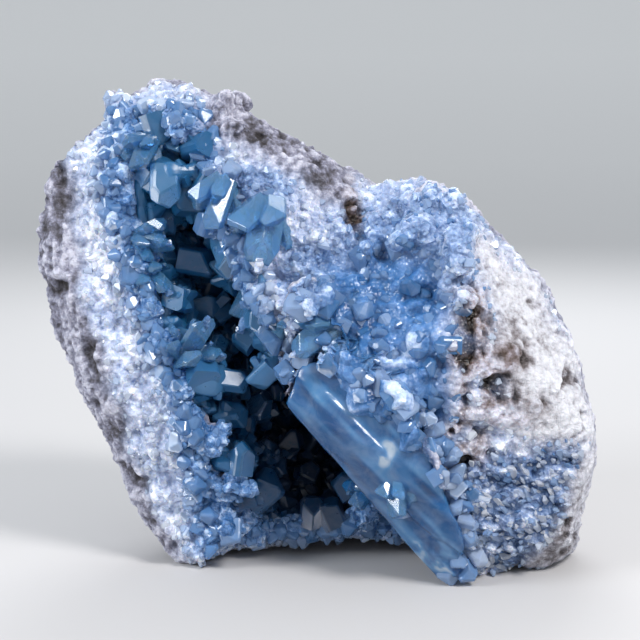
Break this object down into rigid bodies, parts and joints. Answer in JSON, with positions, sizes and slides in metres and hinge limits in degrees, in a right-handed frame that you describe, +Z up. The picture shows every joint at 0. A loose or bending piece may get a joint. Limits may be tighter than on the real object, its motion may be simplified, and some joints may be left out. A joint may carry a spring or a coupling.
{
  "type": "celestite geode",
  "caption": "Pale celestite nodule broken open, with a long slanting hollow lined with blue crystals and a thick lobe with a great cleavage block in front.",
  "frame": {"origin": "on the surface the geode stands on, under the middle of its outline box", "axes": "+Z up, +X to the right, the broken face with the hollow looks towards -Y"},
  "size_m": [0.1812, 0.111, 0.1561],
  "materials": {
    "massive_celestite": "pale blue sugary crust and grey-white rind, rough, with glassy faces",
    "blue_crystal": "glassy, clear to milky sky-blue crystal"
  },
  "bodies": {
    "root": {"geode_wall": "massive_celestite", "crystal_lining": "blue_crystal"}
  },
  "joints": []
}
